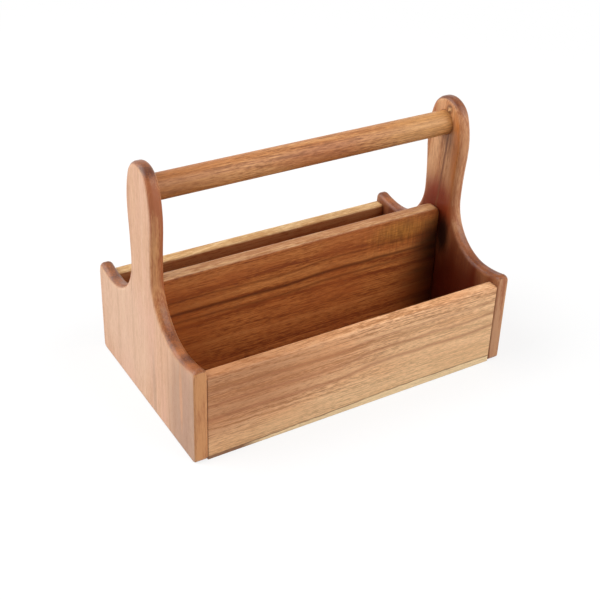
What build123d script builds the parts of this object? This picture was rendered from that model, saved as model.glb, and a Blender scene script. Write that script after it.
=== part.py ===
from build123d import *
import os

# A carry caddy in oiled acacia: two shaped ends, a dowel handle between their uprights, a low wall at
# the front and at the back, and a taller divider under the handle. Millimetres. X runs along the
# handle, the front faces -Y, Z is up, and the origin is on the table under the middle of the caddy.

# Overall
caddy_length = 330.0          # over the outer faces of the two ends
caddy_depth = 202.5           # over the front and back edges of an end
caddy_height = 240.0          # table to the top of an upright

# Boards
end_thickness = 12.5
wall_thickness = 12.5
wall_height = 85.5            # table to the top of the front and back walls
wall_inset = 0.5              # each wall stands back this far from the edges of the ends
divider_thickness = 12.5
divider_height = 127.5        # table to the top of the divider
divider_corner_radius = 8.0   # its two top corners, seen from the front
base_thickness = 8.0
base_rise = 6.0               # table to the underside of the base

# Outline of an end
shoulder_step = 6.0           # the top edge dips to this far above the walls
corner_rise = 5.0             # the outer corners stand this far above the dip
flare_radius = 47.5           # hollow curve from the top edge into the upright
waist_half_width = 23.5       # the upright at its narrowest
lobe_half_width = 27.0        # the upright at its widest
lobe_drop = 44.5              # top of the upright to its widest point
lobe_top_radius = 23.0
swell_turn = 0.7              # part of the way from waist to widest point where the curve turns over
top_corner_radius = 6.0
bottom_corner_radius = 5.0

# Arrises. The top edges of the ends and those of the divider are planed and sanded round in three
# narrow facets, which all touch an arc of the given radius; the two cuts that leave them are given as
# parts of that radius. The rounding of the ends dies away down their outer edges.
end_top_arris = 5.0
end_run_out = 16.0            # down from the outer corner to where that rounding has gone
end_side_arris = 1.0          # the outer edges and the foot
divider_arris = 2.5
first_cut = 0.586
second_cut = 0.215
wall_top_arris = 2.0
wall_foot_arris = 1.0
wall_end_bevel = 0.3          # round each wall's two end faces, where it meets the ends
base_arris = 0.6

# Handle
handle_diameter = 23.5
handle_drop = 25.0            # top of the upright to the handle's axis
handle_chamfer = 1.0
socket_depth = 7.0            # how far the handle enters each end
socket_clearance = 0.1        # all round the handle
socket_end_gap = 0.3          # past the handle's end

# Groove for the base
tongue = 4.0                  # how far the base enters each board round it
groove_headroom = 0.2         # above the base
groove_end_gap = 0.3          # past the edge of the base

# Glue pins, fluted, half hidden in the ends and half in the boards between them
pin_diameter = 6.0
pin_length = 30.0
pin_depth_in_end = 8.0
pin_hole_clearance = 0.05     # all round the pin
pin_hole_end_gap = 0.5        # room for glue past each end of the pin
pin_chamfer = 0.8
flute_count = 8
flute_depth = 0.35
pin_margin = 14.0             # pin axis to the edge or groove next to it
wall_pin_count = 2
divider_pin_count = 3

# Places worked out from the sizes above
inner_half = caddy_length / 2 - end_thickness
wall_middle_y = caddy_depth / 2 - wall_inset - wall_thickness / 2
wall_inner_y = wall_middle_y - wall_thickness / 2
base_top = base_rise + base_thickness
groove_width = base_thickness + groove_headroom
groove_middle_z = base_rise + groove_width / 2
groove_depth = tongue + groove_end_gap
handle_z = caddy_height - handle_drop
dip_height = wall_height + shoulder_step
waste = 3 * end_top_arris      # wood left outside the finished outline until it is cut
same_level = 0.01             # slack when edges are picked by where they lie


def spread(low, high, count):
    # Evenly spaced places from low to high.
    return [low + (high - low) * i / (count - 1) for i in range(count)]


wall_pin_heights = spread(base_rise + groove_width + pin_margin, wall_height - pin_margin, wall_pin_count)
divider_pin_heights = spread(base_top + pin_margin, divider_height - pin_margin, divider_pin_count)


def bore(x, y, z, diameter, depth, towards):
    # A round hole along X from its mouth, running towards +X (1) or -X (-1).
    drill = Cylinder(diameter / 2, depth, align=(Align.CENTER, Align.CENTER, Align.MIN))
    return Pos(x, y, z) * Rot(Y=90 * towards) * drill


def pin_bore(x, y, z, depth, towards):
    return bore(x, y, z, pin_diameter + 2 * pin_hole_clearance, depth + pin_hole_end_gap, towards)


def half_outline():
    # One side of an end before its outer edge and foot are cut straight: an edge that leans out below the
    # corner, a shallow dip, a quarter-round hollow, then a slow swell into the rounded lobe.
    corner = Vector(caddy_depth / 2, dip_height + corner_rise)
    heel = Vector(corner.X + (corner.Y + waste) * end_top_arris / end_run_out, -waste)
    dip = Vector(waist_half_width + flare_radius, dip_height)
    waist = Vector(waist_half_width, dip_height + flare_radius)
    widest = Vector(lobe_half_width, caddy_height - lobe_drop)
    top = Vector(0, caddy_height)

    # The lobe's side is the arc that stands upright at the widest point and runs on into the top arc.
    top_centre = Vector(0, caddy_height - lobe_top_radius)
    rise = top_centre.Y - widest.Y
    side_radius = (lobe_half_width**2 + rise**2 - lobe_top_radius**2) / (2 * (lobe_half_width - lobe_top_radius))
    side_centre = Vector(lobe_half_width - side_radius, widest.Y)
    lobe_joint = top_centre + (top_centre - side_centre).normalized() * lobe_top_radius

    turn = waist + (widest - waist) * swell_turn

    foot = Line((0, heel.Y), heel)
    edge = Line(heel, corner)
    shoulder = TangentArc(dip, corner, tangent=(1, 0))
    flare = CenterArc((dip.X, waist.Y), flare_radius, 180, 90)
    hollow = TangentArc(waist, turn, tangent=(0, 1))
    swell = TangentArc(turn, widest, tangent=hollow % 1)
    side = TangentArc(widest, lobe_joint, tangent=(0, 1))
    crown = TangentArc(side @ 1, top, tangent=side % 1)
    return [foot, edge, shoulder, flare, hollow, swell, side, crown]


def blank_face():
    # The whole outline with its two upper corners rounded, in the sketch's own X and Y.
    half = Curve() + half_outline()
    face = make_face((half + mirror(half, about=Plane.YZ)).edges())
    corners = face.vertices().filter_by(lambda v: abs(abs(v.X) - caddy_depth / 2) < same_level)
    return fillet(corners, top_corner_radius)


def round_over(board, axis, radius):
    # Rounds the arrises of a board's two broad faces, the ones square to the axis.
    faces = board.faces().filter_by(axis).sort_by(axis)
    low = faces[0].center().dot(axis.direction)
    high = faces[-1].center().dot(axis.direction)
    board = chamfer(faces[0].edges() + faces[-1].edges(), first_cut * radius)
    ridges = ShapeList()
    for level in (low, low + first_cut * radius, high - first_cut * radius, high):
        ridges += board.edges().filter_by_position(axis, level - same_level, level + same_level)
    return chamfer(ridges, second_cut * radius)


def right_end_board():
    upright_plane = Plane(origin=(inner_half, 0, 0), x_dir=(0, 1, 0), z_dir=(1, 0, 0))
    board = round_over(extrude(upright_plane * blank_face(), end_thickness), Axis.X, end_top_arris)

    # Cut to its depth and foot, with slighter arrises there.
    tall = caddy_height + waste
    slab = Pos(inner_half + end_thickness / 2, 0, tall / 2) * Box(end_thickness, caddy_depth, tall)
    slab = fillet(slab.edges().filter_by(Axis.X).group_by(Axis.Z)[0], bottom_corner_radius)
    faces = slab.faces().filter_by(Axis.X).sort_by(Axis.X)
    board &= chamfer(faces[0].edges() + faces[-1].edges(), end_side_arris)

    board -= bore(inner_half, 0, handle_z, handle_diameter + 2 * socket_clearance,
                  socket_depth + socket_end_gap, 1)

    # Groove for the base, with the round ends that a cutter leaves, stopped behind the walls.
    groove_length = 2 * (wall_inner_y + tongue + groove_end_gap) + groove_width
    groove_plane = upright_plane.offset(0)
    groove_plane.origin = (inner_half, 0, groove_middle_z)
    board -= extrude(groove_plane * SlotOverall(groove_length, groove_width), groove_depth)

    for z in wall_pin_heights:
        for y in (-wall_middle_y, wall_middle_y):
            board -= pin_bore(inner_half, y, z, pin_depth_in_end, 1)
    for z in divider_pin_heights:
        board -= pin_bore(inner_half, 0, z, pin_depth_in_end, 1)
    return board


def back_wall_board():
    depth_in_wall = pin_length - pin_depth_in_end
    wall = Pos(0, wall_middle_y, wall_height / 2) * Box(2 * inner_half, wall_thickness, wall_height)
    levels = wall.edges().filter_by(Axis.X).group_by(Axis.Z)
    wall = fillet(levels[-1], wall_top_arris)
    wall = fillet(wall.edges().filter_by(Axis.X).group_by(Axis.Z)[0], wall_foot_arris)
    end_faces = wall.faces().filter_by(Axis.X).sort_by(Axis.X)
    wall = chamfer(end_faces[0].edges() + end_faces[-1].edges(), wall_end_bevel)
    groove = Box(2 * inner_half, groove_depth, groove_width, align=(Align.CENTER, Align.MIN, Align.CENTER))
    wall -= Pos(0, wall_inner_y, groove_middle_z) * groove
    for z in wall_pin_heights:
        for side in (-1, 1):
            wall -= pin_bore(side * inner_half, wall_middle_y, z, depth_in_wall, -side)
    return wall


def divider_board():
    depth_in_divider = pin_length - pin_depth_in_end
    tall = divider_height - base_top
    face = Pos(0, tall / 2) * Rectangle(2 * inner_half, tall)
    face = fillet(face.vertices().group_by(Axis.Y)[-1], divider_corner_radius)
    front_plane = Plane(origin=(0, divider_thickness / 2, base_top), x_dir=(1, 0, 0), z_dir=(0, -1, 0))
    board = extrude(front_plane * face, divider_thickness)
    board = round_over(board, Axis.Y, divider_arris)
    for z in divider_pin_heights:
        for side in (-1, 1):
            board -= pin_bore(side * inner_half, 0, z, depth_in_divider, -side)
    return board


def base_board():
    long = 2 * (inner_half + tongue)
    wide = 2 * (wall_inner_y + tongue)
    board = Pos(0, 0, base_rise + base_thickness / 2) * Box(long, wide, base_thickness)
    return chamfer(board.edges(), base_arris)


def handle_dowel():
    long = 2 * (inner_half + socket_depth)
    dowel = Cylinder(handle_diameter / 2, long)
    dowel = chamfer(dowel.edges().filter_by(GeomType.CIRCLE), handle_chamfer)
    return Pos(0, 0, handle_z) * Rot(Y=90) * dowel


def glue_pin():
    # A pin along X, from 0 to its length, with ridges and flutes all round and both its ends bevelled.
    corners = []
    for i in range(flute_count):
        turn = 360 * i / flute_count
        corners.append(Vector(pin_diameter / 2, 0).rotate(Axis.Z, turn))
        corners.append(Vector(pin_diameter / 2 - flute_depth, 0).rotate(Axis.Z, turn + 180 / flute_count))
    pin = extrude(make_face(Polyline(*corners, close=True)), pin_length)
    ends = pin.faces().sort_by(Axis.Z)
    pin = chamfer(ends[0].edges() + ends[-1].edges(), pin_chamfer)
    return Rot(Y=90) * pin


def pin_group(y, heights):
    # Pins at both ends of one board.
    start = inner_half + pin_depth_in_end
    pin = glue_pin()
    pins = []
    for z in heights:
        pins.append(Pos(-start, y, z) * pin)
        pins.append(Pos(start - pin_length, y, z) * pin)
    return Compound(children=pins)


right_end = right_end_board()
back_wall = back_wall_board()

nodes = {
    "left_end": mirror(right_end, about=Plane.YZ),
    "right_end": right_end,
    "front_wall": mirror(back_wall, about=Plane.XZ),
    "back_wall": back_wall,
    "divider": divider_board(),
    "base": base_board(),
    "handle": handle_dowel(),
    "front_wall_pins": pin_group(-wall_middle_y, wall_pin_heights),
    "back_wall_pins": pin_group(wall_middle_y, wall_pin_heights),
    "divider_pins": pin_group(0, divider_pin_heights),
}

os.makedirs("parts", exist_ok=True)
for name, shape in nodes.items():
    export_step(shape, f"parts/{name}.step")
    print(name, "volume", round(shape.volume))
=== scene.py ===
from math import cos, radians, sin

import bpy
from mathutils import Matrix, Vector


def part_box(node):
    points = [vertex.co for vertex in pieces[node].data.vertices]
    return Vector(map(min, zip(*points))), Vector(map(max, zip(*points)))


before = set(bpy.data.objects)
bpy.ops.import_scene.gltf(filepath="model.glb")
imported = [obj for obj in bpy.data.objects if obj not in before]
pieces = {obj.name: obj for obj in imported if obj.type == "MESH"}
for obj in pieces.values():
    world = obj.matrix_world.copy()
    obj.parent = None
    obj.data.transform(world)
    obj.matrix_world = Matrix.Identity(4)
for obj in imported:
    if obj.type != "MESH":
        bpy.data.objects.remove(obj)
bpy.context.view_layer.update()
print("frame loaded:", len(pieces), "CAD nodes")

mmPerMetre = 1000


def linear(hexColour):
    # sRGB hex to the linear colour that the shader takes
    channels = [int(hexColour[i:i + 2], 16) / 255 for i in (1, 3, 5)]
    return [c / 12.92 if c < 0.04045 else ((c + 0.055) / 1.055) ** 2.4 for c in channels] + [1]


def addNode(tree, kind, inputs=(), **settings):
    # inputs are values or outputs, by the sockets' names or in the order of the sockets in use
    made = tree.nodes.new("ShaderNode" + kind)
    for name, value in settings.items():
        setattr(made, name, value)
    if isinstance(inputs, dict):
        filled = [(made.inputs[name], value) for name, value in inputs.items()]
    else:
        filled = zip([socket for socket in made.inputs if socket.enabled], inputs)
    for socket, value in filled:
        if isinstance(value, bpy.types.NodeSocket):
            tree.links.new(value, socket)
        else:
            socket.default_value = value
    return next(out for out in made.outputs if out.enabled)


# The figure of sawn acacia, in millimetres on a board's own axes: x along the grain, y and z across it.
# Growth bands sway and ripple along the board. Over them lie long fibres, short flecks, open pores and
# slow patches, each about this long with the grain and this wide across it. Real fibres and pores are
# under 0.3 mm wide, too fine to show in the render, so they are drawn as coarse as they need to show.
figure = {
    "sways": {"long": 190, "wide": 55, "detail": 1, "roughness": 0.5},
    "ripples": {"long": 26, "wide": 6, "detail": 2, "roughness": 0.5},
    "fibres": {"long": 32, "wide": 1.1, "detail": 3, "roughness": 0.65},
    "flecks": {"long": 7, "wide": 1.2, "detail": 2, "roughness": 0.6},
    "pores": {"long": 5, "wide": 0.5, "detail": 2, "roughness": 0.6},
    "patches": {"long": 80, "wide": 24, "detail": 2, "roughness": 0.5},
    "bandDetail": 5, "bandRoughness": 0.62,
    "fleckShare": 0.8,                         # of the flecks beside the fibres
    "poresStart": 0.57, "poresFull": 0.72,     # levels of the noise: higher leaves fewer pores
}
boardSettings = ("growY", "growZ", "lean", "band", "sway", "ripple")


def makeFigure():
    group = bpy.data.node_groups.new("acaciaFigure", "ShaderNodeTree")
    group.interface.new_socket("place", in_out="INPUT", socket_type="NodeSocketVector")
    for name in boardSettings:
        group.interface.new_socket(name, in_out="INPUT", socket_type="NodeSocketFloat")
    for name in ("bands", "fibre", "pores", "patches"):
        group.interface.new_socket(name, in_out="OUTPUT", socket_type="NodeSocketFloat")
    given = group.nodes.new("NodeGroupInput").outputs
    out = group.nodes.new("NodeGroupOutput").inputs

    def pattern(name):
        # noise drawn out along the grain
        size = figure[name]
        perMm = (1 / size["long"], 1 / size["wide"], 1 / size["wide"])
        scaled = addNode(group, "VectorMath", (given["place"], perMm), operation="MULTIPLY")
        return addNode(group, "TexNoise", {"Vector": scaled, "Scale": 1, "Detail": size["detail"],
                                           "Roughness": size["roughness"]})

    # how far into the tree's growth a point lies, counted in bands
    along, across, through = addNode(group, "SeparateXYZ", (given["place"],)).node.outputs
    growth = addNode(group, "Math", (across, given["growY"]), operation="MULTIPLY")
    growth = addNode(group, "Math", (through, given["growZ"], growth), operation="MULTIPLY_ADD")
    growth = addNode(group, "Math", (along, given["lean"], growth), operation="MULTIPLY_ADD")
    for waves, reach in (("sways", "sway"), ("ripples", "ripple")):
        swing = addNode(group, "Math", (pattern(waves), 0.5), operation="SUBTRACT")
        growth = addNode(group, "Math", (swing, given[reach], growth), operation="MULTIPLY_ADD")
    growth = addNode(group, "Math", (growth, given["band"]), operation="DIVIDE")
    bands = addNode(group, "TexNoise", {"W": growth, "Scale": 1, "Detail": figure["bandDetail"],
                                        "Roughness": figure["bandRoughness"]}, noise_dimensions="1D")

    # flecks over the fibres, about 0.5 on the whole
    share = figure["fleckShare"]
    fibre = addNode(group, "Math", (pattern("flecks"), share, pattern("fibres")), operation="MULTIPLY_ADD")
    fibre = addNode(group, "Math", (fibre, share / 2), operation="SUBTRACT")
    pores = addNode(group, "MapRange", {"Value": pattern("pores"), "From Min": figure["poresStart"],
                                        "From Max": figure["poresFull"]})
    group.links.new(bands, out["bands"])
    group.links.new(fibre, out["fibre"])
    group.links.new(pores, out["pores"])
    group.links.new(pattern("patches"), out["patches"])
    return group


acaciaFigure = makeFigure()
print("acacia figure made")

# What differs from board to board.
# axes: which of the part's X Y Z run along the grain, across the board and through it.
# start: where in the tree the board was sawn, in mm. growY, growZ, lean: the growth across the board,
# through it and along it. band, sway, ripple: how wide a band is and how far it wanders, in mm.
# spread: how far light and dark wood lie from the middle tone, so a small one gives a harder figure.
# tint: the colour of slow patches. edge: dark and light stripes on the sawn edges. endGrain: its blotches.
# fibre: how much the fibres count beside the bands. fleck: how much they shade. pore: how dark pores are.
# marks: stretches of other colour, some of them painted shade, with middle and reach in the part's own mm.
# veins: dark growth lines at a height above the table, in mm. curl: ripples across the grain, their size
# in mm along X, Y and Z, and the levels of their noise that are lightest and darkest.
boardLooks = {
    "left_end": {
        "axes": "ZYX", "start": (40, 310, 0), "growY": 1.0, "growZ": 0.25, "lean": 0.03,
        "band": 12.0, "sway": 14.0, "ripple": 1.6, "spread": 0.3,
        "light": "#dcb290", "mid": "#d3a27e", "dark": "#bb8664", "tint": "#d8a68a",
        "edge": ("#9a5025", "#cc8e58"), "edgeShare": 0.9, "endGrain": ("#501b05", "#a05a28"),
        "fibre": 0.42, "fleck": 0.1, "pore": 0.2,
        "marksAndShade": (
            {"middle": (-165, 40, 60), "reach": (30, 80, 90), "colour": "#dcb698", "strength": 0.5},
            # partly the wood's own greyer tone, partly painted shade: darker towards the front foot by the
            # table
            {"middle": (-165, -95, 20), "reach": (40, 60, 120), "colour": "#a27a60", "strength": 0.75},
            {"middle": (-165, -76, 50), "reach": (20, 4, 45), "colour": "#cf9266", "strength": 0.6},
            {"middle": (-165, -20, 30), "reach": (20, 5, 60), "colour": "#ad8468", "strength": 0.5},
        ),
    },
    "right_end": {
        "axes": "ZYX", "start": (400, 120, 60), "growY": 0.7, "growZ": 1.0, "lean": 0.05,
        "band": 10.0, "sway": 14.0, "ripple": 1.6, "spread": 0.24,
        "light": "#d6a476", "mid": "#c28858", "dark": "#9c6038", "tint": "#bc7646",
        "edge": ("#a05e38", "#c9946a"), "edgeShare": 0.8, "endGrain": ("#5c2409", "#9c5828"),
        "fibre": 0.6, "fleck": 0.25, "pore": 0.3,
        "marksAndShade": (
            {"middle": (152, -24, 190), "reach": (16, 13, 75), "colour": "#bd6e2c", "strength": 0.9},
            # painted shade: the upright's inner face dark red low down, towards the divider
            {"middle": (152, 0, 124), "reach": (15, 40, 44), "colour": "#8a2c02", "strength": 0.92},
            # painted shade: the end darker and redder towards the table, deepest on its inner face
            {"middle": (152, 0, 0), "reach": (16, 260, 186), "colour": "#561506", "strength": 0.97},
            # partly dark heartwood, partly painted shadow in the corner in front of the divider
            {"middle": (152, -14, 100), "reach": (14, 13, 32), "colour": "#1e0b06", "strength": 0.95},
        ),
    },
    "front_wall": {
        "axes": "XZY", "start": (0, 40, 30), "growY": 1.0, "growZ": 0.3, "lean": 0.06,
        "band": 11.0, "sway": 16.0, "ripple": 2.2, "spread": 0.24,
        "light": "#eebf90", "mid": "#dda678", "dark": "#b67e50", "tint": "#da9a68",
        "endGrain": ("#70391c", "#a86c42"), "fibre": 0.8, "fleck": 0.26, "pore": 0.35,
        "marksAndShade": (
            {"middle": (-190, -100, 70), "reach": (210, 30, 70), "colour": "#a4673b", "strength": 0.7},
            {"middle": (-20, -100, 58), "reach": (170, 30, 24), "colour": "#b57343", "strength": 0.25},
            {"middle": (-60, -100, 14), "reach": (110, 30, 20), "colour": "#ddb486", "strength": 0.4},
            {"middle": (150, -100, 20), "reach": (240, 30, 75), "colour": "#e8c090", "strength": 0.55},
        ),
        "veins": (
            {"height": 42, "sway": 14, "width": 3.0, "colour": "#a0603a", "strength": 0.6},
            {"height": 56, "sway": 14, "width": 2.4, "colour": "#a0603a", "strength": 0.55},
            {"height": 70, "sway": 10, "width": 2.0, "colour": "#a0603a", "strength": 0.45},
        ),
    },
    "back_wall": {
        "axes": "XZY", "start": (900, 700, 30), "growY": 1.0, "growZ": 0.3, "lean": -0.04,
        "band": 9.0, "sway": 14.0, "ripple": 2.0, "spread": 0.24,
        "light": "#e2b280", "mid": "#c78b58", "dark": "#965a34", "tint": "#ba7648",
        "edge": ("#bd8c52", "#ecca94"), "edgeShare": 0.85, "endGrain": ("#70391c", "#a86c42"),
        "fibre": 0.75, "fleck": 0.25, "pore": 0.35,
        "marksAndShade": (
            # the wall darker below its top, most at about 60 mm above the table
            {"middle": (0, 85, 60), "reach": (900, 9, 46), "colour": "#84451f", "strength": 0.85},
        ),
        "veins": (
            {"height": 38, "sway": 10, "width": 2.4, "colour": "#8c522c", "strength": 0.5},
        ),
    },
    "divider": {
        "axes": "XZY", "start": (300, 220, 90), "growY": 1.0, "growZ": 0.35, "lean": 0.0,
        "band": 13.0, "sway": 20.0, "ripple": 3.0, "spread": 0.28,
        "light": "#c68046", "mid": "#ae6631", "dark": "#823f1a", "tint": "#a85a2a",
        "edge": ("#a87040", "#dcb080"), "edgeShare": 0.85, "endGrain": ("#5f2e12", "#8f5730"),
        "fibre": 0.7, "fleck": 0.22, "pore": 0.35,
        "marksAndShade": (
            {"middle": (112, 0, 112), "reach": (60, 20, 20), "colour": "#a4702e", "strength": 0.6},
            {"middle": (-165, 0, 70), "reach": (100, 20, 100), "colour": "#8a4518", "strength": 0.55},
            # partly darker wood, partly painted shade towards the right end and the base
            {"middle": (165, 0, 45), "reach": (72, 20, 66), "colour": "#3a1408", "strength": 0.92},
            # partly darker wood, partly painted shade in the corner by the right end
            {"middle": (153, 0, 94), "reach": (44, 20, 34), "colour": "#200d07", "strength": 0.9},
        ),
        "veins": (
            {"height": 88, "sway": 8, "width": 2.6, "colour": "#522309", "strength": 0.8},
            {"height": 79, "sway": 8, "width": 2.0, "colour": "#5d2a0b", "strength": 0.55},
            {"height": 101, "sway": 11, "width": 1.6, "colour": "#643010", "strength": 0.55},
        ),
        "curl": {"middle": (110, 0, 108), "reach": (75, 20, 26), "waveSize": (2.6, 30, 16),
                 "crest": 0.35, "trough": 0.65, "depth": 0.5},
    },
    "base": {
        "axes": "XYZ", "start": (1300, 60, 420), "growY": 1.0, "growZ": 0.2, "lean": 0.02,
        "band": 12.0, "sway": 18.0, "ripple": 2.0, "spread": 0.24,
        "light": "#bb8450", "mid": "#a0653a", "dark": "#723f20", "tint": "#985a2e",
        "endGrain": ("#5f2e12", "#8f5730"), "fibre": 0.7, "fleck": 0.2, "pore": 0.35,
    },
    "handle": {
        "axes": "XYZ", "start": (700, 510, 220), "growY": 1.0, "growZ": 0.5, "lean": 0.06,
        "band": 7.0, "sway": 12.0, "ripple": 2.4, "spread": 0.24,
        "light": "#cf9862", "mid": "#b87a48", "dark": "#935b30", "tint": "#b27240",
        "endGrain": ("#6b3112", "#a96d38"), "fibre": 0.7, "fleck": 0.28, "pore": 0.4,
        "marksAndShade": (
            {"middle": (-160, 0, 215), "reach": (110, 20, 20), "colour": "#94592a", "strength": 0.8},
            {"middle": (140, -4, 218), "reach": (110, 20, 20), "colour": "#cc985c", "strength": 0.6},
            {"middle": (10, -8, 215), "reach": (60, 14, 14), "colour": "#a0562a", "strength": 0.45},
        ),
    },
}


def addPlaces(tree, look):
    # the place in the part and the place on the board's own axes, both in millimetres
    metres = addNode(tree, "TexCoord").node.outputs["Object"]
    inPart = addNode(tree, "VectorMath", (metres, (mmPerMetre,) * 3), operation="MULTIPLY")
    split = addNode(tree, "SeparateXYZ", (inPart,)).node.outputs
    turned = addNode(tree, "CombineXYZ", [split[axis] for axis in look["axes"]])
    return inPart, addNode(tree, "VectorMath", (turned, look["start"]), operation="ADD")


def middleTone(look):
    # the tone of average wood, because bands and fibres are both about 0.5 on the whole
    return 0.5 + 0.5 * look["fibre"]


# Slow patches take up to this share of the board's tint, between these levels of their noise
tinting = {"starts": 0.45, "full": 0.7, "share": 0.7}


def addGrain(tree, look, tone, patches):
    # light, middle and dark wood by tone, and the tint over it
    ramp = addNode(tree, "ValToRGB", (tone,)).node
    stops = ramp.color_ramp.elements
    middle, spread = middleTone(look), look["spread"]
    levels = {"light": middle - spread, "mid": middle, "dark": middle + spread}
    stops.new(0.5)
    for stop, (shade, level) in zip(stops, levels.items()):
        stop.position = level
        stop.color = linear(look[shade])
    tinted = addNode(tree, "MapRange", {"Value": patches, "From Min": tinting["starts"],
                                        "From Max": tinting["full"], "To Max": tinting["share"]})
    return addNode(tree, "Mix", (tinted, ramp.outputs[0], linear(look["tint"])), data_type="RGBA")


# A mark, a patch of painted shade or a curl is at its full strength up to this share of its reach and
# fades from there on, along a border that fibres and patches push to and fro by these shares
border = {"markOrShadeSolid": 0.35, "curlSolid": 0.4, "fibre": 0.4, "patches": 0.5}


def addRaggedness(tree, fibre, patches):
    # pushes a border out or in, by 0 on the whole
    average = (border["fibre"] + border["patches"]) / 2
    ragged = addNode(tree, "Math", (fibre, border["fibre"], -average), operation="MULTIPLY_ADD")
    return addNode(tree, "Math", (patches, border["patches"], ragged), operation="MULTIPLY_ADD")


def addDistance(tree, inPart, patch):
    # 0 in the middle of a patch of the wood, 1 where its reach ends
    offset = addNode(tree, "VectorMath", (inPart, patch["middle"]), operation="SUBTRACT")
    offset = addNode(tree, "VectorMath", (offset, patch["reach"]), operation="DIVIDE")
    return addNode(tree, "VectorMath", (offset,), operation="LENGTH")


def addMarkOrShade(tree, colour, inPart, raggedness, markOrShade):
    # a stretch of other colour, a mark in the wood or painted shade, that fades out along a ragged border
    distance = addNode(tree, "Math", (addDistance(tree, inPart, markOrShade), raggedness), operation="ADD")
    share = addNode(tree, "MapRange", {"Value": distance, "From Min": 1.0, "From Max": border["markOrShadeSolid"],
                                       "To Max": markOrShade["strength"]}, interpolation_type="SMOOTHSTEP")
    return addNode(tree, "Mix", (share, colour, linear(markOrShade["colour"])), data_type="RGBA")


def addCurl(tree, colour, inPart, raggedness, curl):
    # light and dark ripples that stand across the grain, where the fibres ran in waves
    distance = addNode(tree, "Math", (addDistance(tree, inPart, curl), raggedness), operation="ADD")
    share = addNode(tree, "MapRange", {"Value": distance, "From Min": 1.0,
                                       "From Max": border["curlSolid"]}, interpolation_type="SMOOTHSTEP")
    perMm = [1 / size for size in curl["waveSize"]]
    place = addNode(tree, "VectorMath", (inPart, perMm), operation="MULTIPLY")
    waves = addNode(tree, "TexNoise", {"Vector": place, "Scale": 1, "Detail": 2})
    waves = addNode(tree, "MapRange", {"Value": waves, "From Min": curl["crest"],
                                       "From Max": curl["trough"], "To Min": curl["depth"] / 2,
                                       "To Max": -curl["depth"] / 2})
    shade = addNode(tree, "Math", (waves, share, 1.0), operation="MULTIPLY_ADD")
    return addNode(tree, "VectorMath", (colour, shade), operation="SCALE")


# A vein sways over this length in mm, is full at this share of its width and ends at this one
veinShape = {"swayLength": 110, "solid": 0.4, "ends": 1.6}


def addVein(tree, colour, inPart, fibre, vein):
    # a dark growth line that sways along the board at about one height
    split = addNode(tree, "SeparateXYZ", (inPart,)).node.outputs
    sway = addNode(tree, "TexNoise", {"W": split["X"], "Scale": 1 / veinShape["swayLength"], "Detail": 2},
                   noise_dimensions="1D")
    level = addNode(tree, "Math", (sway, vein["sway"], vein["height"] - vein["sway"] / 2),
                    operation="MULTIPLY_ADD")
    away = addNode(tree, "Math", (split["Z"], level), operation="SUBTRACT")
    away = addNode(tree, "Math", (away,), operation="ABSOLUTE")
    away = addNode(tree, "Math", (fibre, vein["width"], away), operation="MULTIPLY_ADD")
    share = addNode(tree, "MapRange", {"Value": away, "From Min": veinShape["ends"] * vein["width"],
                                       "From Max": veinShape["solid"] * vein["width"],
                                       "To Max": vein["strength"]}, interpolation_type="SMOOTHSTEP")
    return addNode(tree, "Mix", (share, colour, linear(vein["colour"])), data_type="RGBA")


# The pale sapwood left along the foot of the front wall, in mm: a cream strip, brown at its left end,
# under a thin dark line that wanders between these heights, with yellower wood above the line
sapwood = {
    "heights": (3.6, 4.5, 9.0, 7.0),           # above the table, evenly along the wall
    "wanderSize": (14, 6, 9), "wander": 2.0,
    "cream": "#f0d2a4", "brown": "#7d5438", "brownStarts": -100, "brownFull": -120,
    "stripStarts": 0.3, "stripFull": -0.8, "stripShare": 0.9,
    "line": "#6e4527", "lineWidth": 0.9, "lineShare": 0.9,
    "faintest": 0.4, "faintAt": 0.3, "fullAt": 0.5,     # the line's breaks, by levels of the wander
    "above": "#d8b483", "aboveReach": 22, "aboveShare": 0.55,
}


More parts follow.
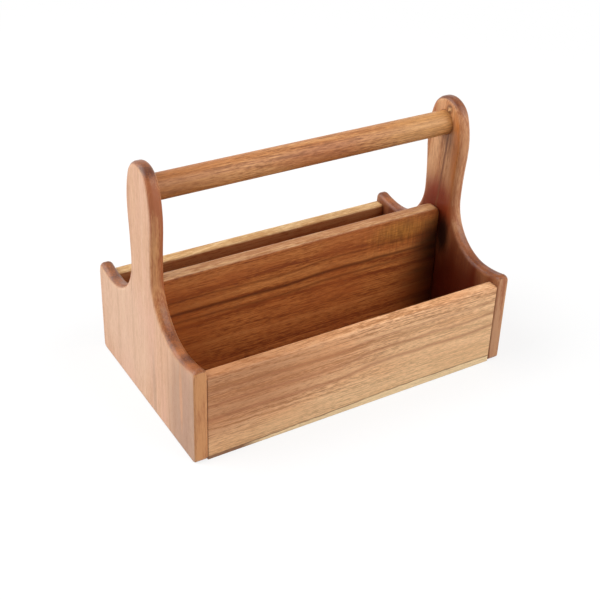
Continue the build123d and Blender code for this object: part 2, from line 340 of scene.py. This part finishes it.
def addSapwood(tree, colour, inPart, patches):
    split = addNode(tree, "SeparateXYZ", (inPart,)).node.outputs
    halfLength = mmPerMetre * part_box("front_wall")[1].x
    along = addNode(tree, "MapRange", {"Value": split["X"], "From Min": -halfLength,
                                       "From Max": halfLength})
    ramp = addNode(tree, "ValToRGB", (along,)).node
    stops = ramp.color_ramp.elements
    ramp.color_ramp.interpolation = "B_SPLINE"
    while len(stops) < len(sapwood["heights"]):
        stops.new(0.5)
    tallest = max(sapwood["heights"])
    for i, (stop, height) in enumerate(zip(stops, sapwood["heights"])):
        stop.position = i / (len(stops) - 1)
        stop.color = [height / tallest] * 3 + [1]

    perMm = [1 / size for size in sapwood["wanderSize"]]
    wander = addNode(tree, "VectorMath", (inPart, perMm), operation="MULTIPLY")
    wander = addNode(tree, "TexNoise", {"Vector": wander, "Scale": 1, "Detail": 3})
    line = addNode(tree, "Math", (ramp.outputs[0], tallest, sapwood["wander"] / 2),
                   operation="MULTIPLY_ADD")
    line = addNode(tree, "Math", (wander, -sapwood["wander"], line), operation="MULTIPLY_ADD")
    above = addNode(tree, "Math", (split["Z"], line), operation="SUBTRACT")

    yellow = addNode(tree, "MapRange", {"Value": above, "From Min": sapwood["aboveReach"], "From Max": 0,
                                        "To Max": sapwood["aboveShare"]})
    yellow = addNode(tree, "Math", (yellow, patches), operation="MULTIPLY")
    colour = addNode(tree, "Mix", (yellow, colour, linear(sapwood["above"])), data_type="RGBA")
    brown = addNode(tree, "MapRange", {"Value": split["X"], "From Min": sapwood["brownStarts"],
                                       "From Max": sapwood["brownFull"]})
    strip = addNode(tree, "Mix", (brown, linear(sapwood["cream"]), linear(sapwood["brown"])),
                    data_type="RGBA")
    below = addNode(tree, "MapRange", {"Value": above, "From Min": sapwood["stripStarts"],
                                       "From Max": sapwood["stripFull"], "To Max": sapwood["stripShare"]})
    colour = addNode(tree, "Mix", (below, colour, strip), data_type="RGBA")

    near = addNode(tree, "Math", (above,), operation="ABSOLUTE")
    dark = addNode(tree, "MapRange", {"Value": near, "From Min": sapwood["lineWidth"], "From Max": 0,
                                      "To Max": sapwood["lineShare"]})
    broken = addNode(tree, "MapRange", {"Value": wander, "From Min": sapwood["faintAt"],
                                        "From Max": sapwood["fullAt"], "To Min": sapwood["faintest"]})
    dark = addNode(tree, "Math", (dark, broken), operation="MULTIPLY")
    return addNode(tree, "Mix", (dark, colour, linear(sapwood["line"])), data_type="RGBA")


# A mineral streak up the inner face of the right upright, in mm. It is gone at the first number of each
# fade and full at the second
streak = {
    "foot": (-0.1, 134.3), "top": (-6.8, 202.9),      # Y and Z
    "width": 2.0, "solid": 0.2, "wander": 3.0, "wavesPerMm": 0.06,
    "fades": {"Z": (212, 195), "X": (161, 154)},
    "colour": "#74401f", "strength": 0.8,
}


def addStreak(tree, colour, inPart):
    split = addNode(tree, "SeparateXYZ", (inPart,)).node.outputs
    (footY, footZ), (topY, topZ) = streak["foot"], streak["top"]
    slope = (topY - footY) / (topZ - footZ)
    atTable = footY - footZ * slope
    wave = addNode(tree, "TexNoise", {"W": split["Z"], "Scale": streak["wavesPerMm"], "Detail": 2},
                   noise_dimensions="1D")
    line = addNode(tree, "Math", (split["Z"], slope, atTable - streak["wander"] / 2),
                   operation="MULTIPLY_ADD")
    line = addNode(tree, "Math", (wave, streak["wander"], line), operation="MULTIPLY_ADD")
    away = addNode(tree, "Math", (split["Y"], line), operation="SUBTRACT")
    away = addNode(tree, "Math", (away,), operation="ABSOLUTE")
    share = addNode(tree, "MapRange", {"Value": away, "From Min": streak["width"],
                                       "From Max": streak["solid"], "To Max": streak["strength"]},
                    interpolation_type="SMOOTHSTEP")
    for axis, (gone, full) in streak["fades"].items():
        fade = addNode(tree, "MapRange", {"Value": split[axis], "From Min": gone, "From Max": full})
        share = addNode(tree, "Math", (share, fade), operation="MULTIPLY")
    return addNode(tree, "Mix", (share, colour, linear(streak["colour"])), data_type="RGBA")


# A small knot over the handle on the same face: a dark rim round a pale core. Middle and reach in mm
knot = {"middle": (152.5, -5.2, 229.6), "reach": (8, 3.0, 3.8), "ragged": 2.2,
        "rim": "#5a3018", "rimStarts": 1.5, "rimFull": 0.9, "rimShare": 0.75,
        "core": "#d0a070", "coreStarts": 0.8, "coreFull": 0.4}


def addKnot(tree, colour, inPart, fibre):
    away = addDistance(tree, inPart, knot)
    away = addNode(tree, "Math", (fibre, knot["ragged"], away), operation="MULTIPLY_ADD")
    away = addNode(tree, "Math", (away, knot["ragged"] / 2), operation="SUBTRACT")
    rim = addNode(tree, "MapRange", {"Value": away, "From Min": knot["rimStarts"],
                                     "From Max": knot["rimFull"], "To Max": knot["rimShare"]})
    colour = addNode(tree, "Mix", (rim, colour, linear(knot["rim"])), data_type="RGBA")
    core = addNode(tree, "MapRange", {"Value": away, "From Min": knot["coreStarts"],
                                      "From Max": knot["coreFull"]})
    return addNode(tree, "Mix", (core, colour, linear(knot["core"])), data_type="RGBA")


# Where the surface turns to a sawn edge, as the slope of its normal, and how its stripes follow the tone
sawnEdge = {"turnStarts": 0.2, "turnFull": 0.55, "patches": 0.8, "darkFrom": 0.55, "lightFrom": 0.25}


def addSawnEdge(tree, colour, look, slope, tone, patches):
    # an edge shows other wood than the broad face, in fine stripes
    stripes = addNode(tree, "Math", (patches, sawnEdge["patches"], tone), operation="MULTIPLY_ADD")
    stripes = addNode(tree, "MapRange", {"Value": stripes,
                                         "From Min": middleTone(look) + sawnEdge["darkFrom"],
                                         "From Max": middleTone(look) + sawnEdge["lightFrom"]})
    dark, light = look["edge"]
    edge = addNode(tree, "Mix", (stripes, linear(dark), linear(light)), data_type="RGBA")
    share = addNode(tree, "MapRange", {"Value": slope, "From Min": sawnEdge["turnStarts"],
                                       "From Max": sawnEdge["turnFull"], "To Max": look["edgeShare"]},
                    interpolation_type="SMOOTHSTEP")
    return addNode(tree, "Mix", (share, colour, edge), data_type="RGBA")


# End grain drinks more oil than a broad face and goes darker and redder, in slow blotches, fine specks
# and the bands of the board
endGrain = {"turnStarts": 0.3, "turnFull": 0.75, "share": 0.9, "blotchesPerMm": 0.05, "specksPerMm": 0.7,
            "specks": 0.7, "bands": 0.5, "darkAt": 0.9, "lightAt": 1.35}


def addEndGrain(tree, colour, look, endness, inPart, bands):
    blotches = addNode(tree, "TexNoise", {"Vector": inPart, "Scale": endGrain["blotchesPerMm"],
                                          "Detail": 1})
    specks = addNode(tree, "TexNoise", {"Vector": inPart, "Scale": endGrain["specksPerMm"], "Detail": 2})
    drunk = addNode(tree, "Math", (specks, endGrain["specks"], blotches), operation="MULTIPLY_ADD")
    drunk = addNode(tree, "Math", (bands, endGrain["bands"], drunk), operation="MULTIPLY_ADD")
    drunk = addNode(tree, "MapRange", {"Value": drunk, "From Min": endGrain["darkAt"],
                                       "From Max": endGrain["lightAt"]})
    dark, light = look["endGrain"]
    ends = addNode(tree, "Mix", (drunk, linear(dark), linear(light)), data_type="RGBA")
    share = addNode(tree, "Math", (endness, endGrain["share"]), operation="MULTIPLY")
    return addNode(tree, "Mix", (share, colour, ends), data_type="RGBA")


# Oiled acacia, sanded and rubbed with a thin film of oil: the gloss is soft, and the pores stay open and
# hold a little dark oil
oil = {
    "ior": 1.48, "specularLevel": 0.35, "pore": "#5a3018",
    "roughness": 0.3, "fibreRoughness": 0.25, "poreRoughness": 0.15, "endRoughness": 0.3,
    "relief": 0.00012, "reliefStrength": 0.6, "fibreRelief": 0.3,      # metres, then shares
    "arris": 0.002,                                                    # metres, eased by sanding
    "shadeFrom": 0.3, "shadeTo": 0.7,                                  # fibre levels
}


def oiledAcacia(name, look):
    material = bpy.data.materials.new(f"oiled acacia, {name.replace('_', ' ')}")
    material.use_nodes = True
    tree = material.node_tree
    shader = tree.nodes["Principled BSDF"]
    inPart, place = addPlaces(tree, look)
    wood = tree.nodes.new("ShaderNodeGroup")
    wood.node_tree = acaciaFigure
    tree.links.new(place, wood.inputs["place"])
    for setting in boardSettings:
        wood.inputs[setting].default_value = look[setting]
    bands, fibre, pores, patches = wood.outputs

    tone = addNode(tree, "Math", (fibre, look["fibre"], bands), operation="MULTIPLY_ADD")
    colour = addGrain(tree, look, tone, patches)
    raggedness = addRaggedness(tree, fibre, patches)
    for markOrShade in look.get("marksAndShade", ()):
        colour = addMarkOrShade(tree, colour, inPart, raggedness, markOrShade)
    for vein in look.get("veins", ()):
        colour = addVein(tree, colour, inPart, fibre, vein)
    if "curl" in look:
        colour = addCurl(tree, colour, inPart, raggedness, look["curl"])
    if name == "front_wall":
        colour = addSapwood(tree, colour, inPart, patches)
    if name == "right_end":
        colour = addStreak(tree, colour, inPart)
        colour = addKnot(tree, colour, inPart, fibre)

    # fine fibres and pores shade the whole board
    shade = addNode(tree, "MapRange", {"Value": fibre, "From Min": oil["shadeFrom"],
                                       "From Max": oil["shadeTo"], "To Min": 1 + look["fleck"] / 2,
                                       "To Max": 1 - look["fleck"] / 2})
    colour = addNode(tree, "VectorMath", (colour, shade), operation="SCALE")
    share = addNode(tree, "Math", (pores, look["pore"]), operation="MULTIPLY")
    colour = addNode(tree, "Mix", (share, colour, linear(oil["pore"])), data_type="RGBA",
                     blend_type="MULTIPLY")

    # edges and ends are told from the broad face by where the rounded surface turns
    rounded = addNode(tree, "Bevel", {"Radius": oil["arris"]}, samples=6)
    slopes = addNode(tree, "VectorMath", (rounded,), operation="ABSOLUTE")
    slopes = addNode(tree, "SeparateXYZ", (slopes,)).node.outputs
    grainAxis, edgeAxis = look["axes"][:2]
    if "edge" in look:
        colour = addSawnEdge(tree, colour, look, slopes[edgeAxis], tone, patches)
    endness = addNode(tree, "MapRange", {"Value": slopes[grainAxis], "From Min": endGrain["turnStarts"],
                                         "From Max": endGrain["turnFull"]},
                      interpolation_type="SMOOTHSTEP")
    colour = addEndGrain(tree, colour, look, endness, inPart, bands)

    relief = addNode(tree, "Math", (fibre, oil["fibreRelief"]), operation="MULTIPLY")
    relief = addNode(tree, "Math", (relief, pores), operation="SUBTRACT")
    surface = addNode(tree, "Bump", {"Strength": oil["reliefStrength"], "Distance": oil["relief"],
                                     "Height": relief, "Normal": rounded})
    gloss = addNode(tree, "Math", (fibre, oil["fibreRoughness"], oil["roughness"]),
                    operation="MULTIPLY_ADD")
    gloss = addNode(tree, "Math", (pores, oil["poreRoughness"], gloss), operation="MULTIPLY_ADD")
    gloss = addNode(tree, "Mix", (endness, gloss, oil["endRoughness"]))

    tree.links.new(colour, shader.inputs["Base Color"])
    tree.links.new(gloss, shader.inputs["Roughness"])
    tree.links.new(surface, shader.inputs["Normal"])
    shader.inputs["IOR"].default_value = oil["ior"]
    shader.inputs["Specular IOR Level"].default_value = oil["specularLevel"]
    return material


for name, look in boardLooks.items():
    pieces[name].data.materials.clear()
    pieces[name].data.materials.append(oiledAcacia(name, look))
print("acacia boards painted:", len(boardLooks))


# Bare beech, turned, pressed into flutes and never oiled: pale, close and matt
beech = {
    "pins": ("front_wall_pins", "back_wall_pins", "divider_pins"),
    "light": "#e2c19a", "dark": "#c49a70", "roughness": 0.65,
    "fleckLength": 3, "fleckWidth": 0.4,       # mm
    "lightAt": 0.35, "darkAt": 0.65,           # levels of the noise
    "relief": 0.0001, "reliefStrength": 0.5,   # metres, then a share
}


def bareBeech():
    material = bpy.data.materials.new("bare beech")
    material.use_nodes = True
    tree = material.node_tree
    shader = tree.nodes["Principled BSDF"]
    metres = addNode(tree, "TexCoord").node.outputs["Object"]
    along, across = mmPerMetre / beech["fleckLength"], mmPerMetre / beech["fleckWidth"]
    place = addNode(tree, "VectorMath", (metres, (along, across, across)), operation="MULTIPLY")
    flecks = addNode(tree, "TexNoise", {"Vector": place, "Scale": 1, "Detail": 3})
    share = addNode(tree, "MapRange", {"Value": flecks, "From Min": beech["lightAt"],
                                       "From Max": beech["darkAt"]})
    colour = addNode(tree, "Mix", (share, linear(beech["light"]), linear(beech["dark"])), data_type="RGBA")
    surface = addNode(tree, "Bump", {"Strength": beech["reliefStrength"], "Distance": beech["relief"],
                                     "Height": flecks})
    tree.links.new(colour, shader.inputs["Base Color"])
    tree.links.new(surface, shader.inputs["Normal"])
    shader.inputs["Roughness"].default_value = beech["roughness"]
    return material


pinWood = bareBeech()
for name in beech["pins"]:
    pieces[name].data.materials.clear()
    pieces[name].data.materials.append(pinWood)
print("beech pins painted:", len(beech["pins"]))


def addSeen(tree):
    # 1 for what the camera sees, also in a gloss or through glass, and 0 for light on its way to the wood
    path = addNode(tree, "LightPath").node.outputs
    seen = addNode(tree, "Math", (path["Is Camera Ray"], path["Is Glossy Ray"]), operation="MAXIMUM")
    return addNode(tree, "Math", (seen, path["Is Transmission Ray"]), operation="MAXIMUM")


# A sweep of matt white paper: an even ground without gloss. What is seen of it is lifted to white, less
# near the caddy, where its faint shadow stays, and fully from whiteFrom outwards. Lengths in metres
paper = {"side": 8, "unseen": "#d0d0d0", "seen": "#ffffff", "liftAtCaddy": 0.78,
         "liftStarts": 0.4, "whiteFrom": 1.2}


def makeFloor():
    material = bpy.data.materials.new("matt white paper sweep")
    material.use_nodes = True
    tree = material.node_tree
    shader = tree.nodes["Principled BSDF"]
    shader.inputs["Roughness"].default_value = 1.0
    shader.inputs["Specular IOR Level"].default_value = 0.0
    seen = addSeen(tree)
    tone = addNode(tree, "Mix", (seen, linear(paper["unseen"]), linear(paper["seen"])), data_type="RGBA")
    tree.links.new(tone, shader.inputs["Base Color"])
    white = addNode(tree, "Emission", {"Color": linear(paper["seen"]), "Strength": 1})
    place = addNode(tree, "NewGeometry").node.outputs["Position"]
    away = addNode(tree, "VectorMath", (place,), operation="LENGTH")
    lift = addNode(tree, "MapRange", {"Value": away, "From Min": paper["liftStarts"],
                                      "From Max": paper["whiteFrom"], "To Min": paper["liftAtCaddy"]})
    lift = addNode(tree, "Math", (seen, lift), operation="MULTIPLY")
    mixed = addNode(tree, "MixShader", (lift, shader.outputs[0], white))
    tree.links.new(mixed, tree.nodes["Material Output"].inputs["Surface"])
    bpy.ops.mesh.primitive_plane_add(size=paper["side"])
    floor = bpy.context.object
    floor.name = "floor"
    floor.data.materials.append(material)


makeFloor()

# White all round where it is seen, and a dim fill for the wood
studio = {"seen": 1.0, "unseen": 0.2}


def makeWorld():
    world = bpy.data.worlds.new("studio")
    bpy.context.scene.world = world
    world.use_nodes = True
    tree = world.node_tree
    strength = addNode(tree, "MapRange", {"Value": addSeen(tree), "To Min": studio["unseen"],
                                          "To Max": studio["seen"]})
    background = tree.nodes["Background"]
    background.inputs["Color"].default_value = linear("#ffffff")
    tree.links.new(strength, background.inputs["Strength"])


makeWorld()

# Two softboxes: where each stands and its side in metres, and its power in watts
lamps = {
    "keyBackLeft": {"place": (-2.14, 1.24, 2.27), "side": 3.2, "power": 132},
    "fillFrontRight": {"place": (1.71, -2.03, 2.03), "side": 3.2, "power": 97},
}
lampsAimAt = Vector((0, 0, 0.1))       # about the middle of the caddy

for name, lamp in lamps.items():
    data = bpy.data.lights.new(name, "AREA")
    data.size = lamp["side"]
    data.energy = lamp["power"]
    made = bpy.data.objects.new(name, data)
    bpy.context.scene.collection.objects.link(made)
    made.location = lamp["place"]
    made.rotation_mode = "QUATERNION"
    made.rotation_quaternion = (lampsAimAt - made.location).to_track_quat("-Z", "Y")
print("floor, world and lamps set")

# The camera stands where the photograph was taken from, fitted to the boards' corners
camera = {
    "place": (-0.4730, -0.7538, 0.6222),                # metres
    "yaw": 31.096, "pitch": -29.322, "roll": 1.627,     # degrees
    "photoWidth": 600,                                  # pixels, as the next three
    "focalLength": 1095.92,
    "offsetX": -12.03, "offsetY": -57.21,               # from the middle of the picture
    "sensorWidth": 36,                                  # mm
    "nearest": 0.01, "farthest": 20,                    # metres
}


def makeCamera():
    yaw, pitch, roll = (radians(camera[key]) for key in ("yaw", "pitch", "roll"))
    forward = Vector((sin(yaw) * cos(pitch), cos(yaw) * cos(pitch), sin(pitch)))
    level = Vector((cos(yaw), -sin(yaw), 0))
    above = level.cross(forward)
    right = cos(roll) * level + sin(roll) * above
    up = cos(roll) * above - sin(roll) * level
    turn = Matrix((right, up, -forward)).transposed().to_4x4()
    data = bpy.data.cameras.new("photoCamera")
    data.sensor_width = camera["sensorWidth"]
    data.lens = camera["focalLength"] * camera["sensorWidth"] / camera["photoWidth"]
    data.shift_x = -camera["offsetX"] / camera["photoWidth"]
    data.shift_y = camera["offsetY"] / camera["photoWidth"]
    data.clip_start = camera["nearest"]
    data.clip_end = camera["farthest"]
    made = bpy.data.objects.new("photoCamera", data)
    bpy.context.scene.collection.objects.link(made)
    made.matrix_world = Matrix.Translation(camera["place"]) @ turn
    bpy.context.scene.camera = made


makeCamera()
bpy.context.scene.view_settings.view_transform = "Standard"
print("camera set")
